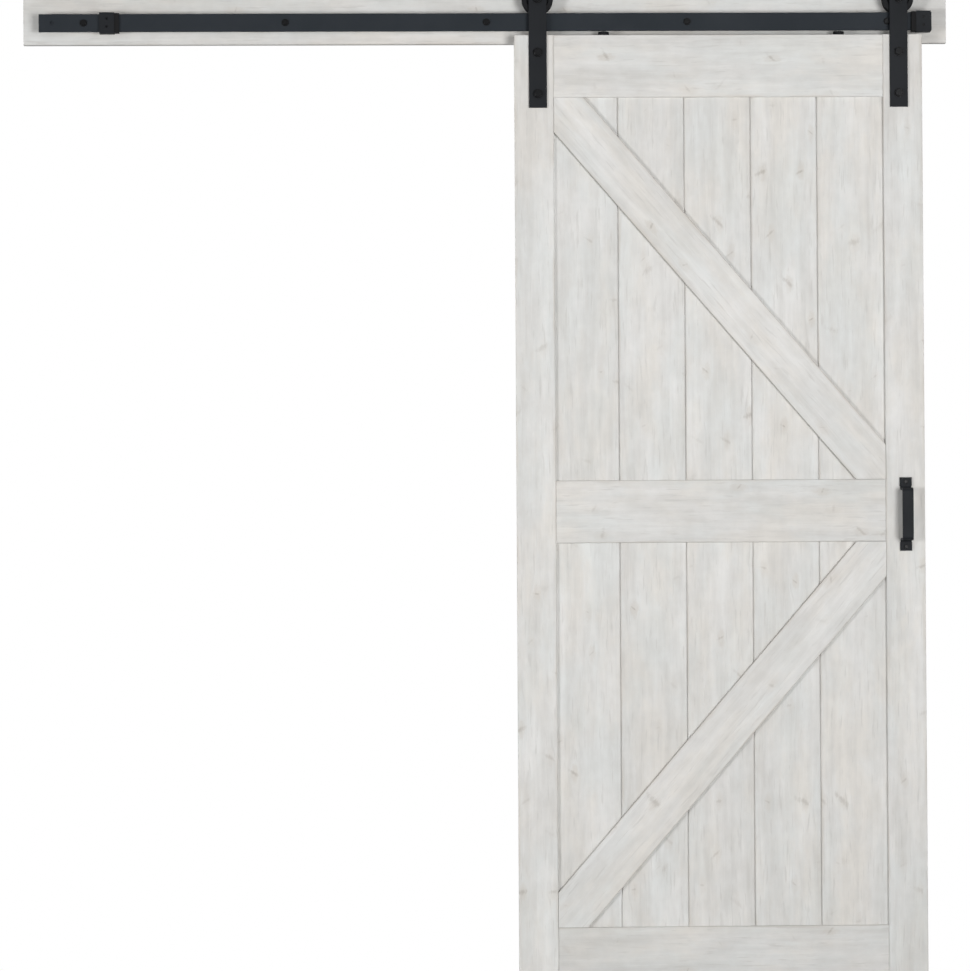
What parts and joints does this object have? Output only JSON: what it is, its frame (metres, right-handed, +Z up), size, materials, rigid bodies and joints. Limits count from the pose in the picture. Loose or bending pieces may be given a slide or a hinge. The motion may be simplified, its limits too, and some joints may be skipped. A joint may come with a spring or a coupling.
{
  "type": "sliding barn door",
  "caption": "Whitewashed plank sliding door with diagonal braces, hung by strap hangers with grooved wheels on a black flat track, standing off a matching header board.",
  "frame": {"origin": "middle of the header board's back face, on the wall", "axes": "+X along the track, to the right as seen from the room; +Y into the wall; +Z up"},
  "size_m": [2.076, 0.102, 2.2606],
  "materials": {
    "whitewashed_wood": "matt whitewash over sawn softwood, with faint warm and grey grain",
    "dowel_wood": "bare turned beech",
    "black_steel": "matt black powder coat",
    "black_nylon": "turned black nylon",
    "black_rubber": "matt moulded rubber",
    "bearing_steel": "ground bearing steel"
  },
  "bodies": {
    "rail": {"header_board": "whitewashed_wood", "track_rail": "black_steel", "track_standoffs": "black_steel", "track_lag_screws": "black_steel", "stop_block_left": "black_steel", "stop_block_right": "black_steel", "stop_bumper_left": "black_rubber", "stop_bumper_right": "black_rubber", "stop_set_screws": "black_steel"},
    "door": {"stile_left": "whitewashed_wood", "stile_right": "whitewashed_wood", "rail_top": "whitewashed_wood", "rail_middle": "whitewashed_wood", "rail_bottom": "whitewashed_wood", "plank_upper_1": "whitewashed_wood", "plank_upper_2": "whitewashed_wood", "plank_upper_3": "whitewashed_wood", "plank_upper_4": "whitewashed_wood", "plank_upper_5": "whitewashed_wood", "plank_lower_1": "whitewashed_wood", "plank_lower_2": "whitewashed_wood", "plank_lower_3": "whitewashed_wood", "plank_lower_4": "whitewashed_wood", "plank_lower_5": "whitewashed_wood", "brace_upper_front": "whitewashed_wood", "brace_lower_front": "whitewashed_wood", "brace_upper_back": "whitewashed_wood", "brace_lower_back": "whitewashed_wood", "frame_dowels": "dowel_wood", "hanger_strap_left": "black_steel", "hanger_strap_right": "black_steel", "hanger_bolts": "black_steel", "hanger_sleeve_nuts": "black_steel", "axle_bolt_left": "black_steel", "axle_bolt_right": "black_steel", "axle_spacers": "bearing_steel", "axle_nuts": "black_steel", "bearing_inner_ring_left": "bearing_steel", "bearing_inner_ring_right": "bearing_steel", "anti_jump_disc_left": "black_nylon", "anti_jump_disc_right": "black_nylon", "anti_jump_screws": "black_steel", "pull_handle": "black_steel", "pull_screws": "black_steel"},
    "wheel_left": {"wheel_left": "black_nylon", "bearing_outer_ring_left": "bearing_steel", "bearing_balls_left": "bearing_steel"},
    "wheel_right": {"wheel_right": "black_nylon", "bearing_outer_ring_right": "bearing_steel", "bearing_balls_right": "bearing_steel"}
  },
  "joints": [
    {"name": "door_slide", "type": "slide", "parent": "rail", "child": "door", "axis": [1, 0, 0], "range_m": [-0.9145, 0.01]},
    {"name": "wheel_left_spin", "type": "hinge", "parent": "door", "child": "wheel_left", "pos_m": [0.1141, -0.051, 0.0243], "axis": [0, 1, 0], "continuous": true},
    {"name": "wheel_right_spin", "type": "hinge", "parent": "door", "child": "wheel_right", "pos_m": [0.9235, -0.051, 0.0243], "axis": [0, 1, 0], "continuous": true}
  ],
  "couplings": [
    {"joint": "wheel_left_spin", "follows": "door_slide", "rad_per_m": 33.333},
    {"joint": "wheel_right_spin", "follows": "door_slide", "rad_per_m": 33.333}
  ]
}
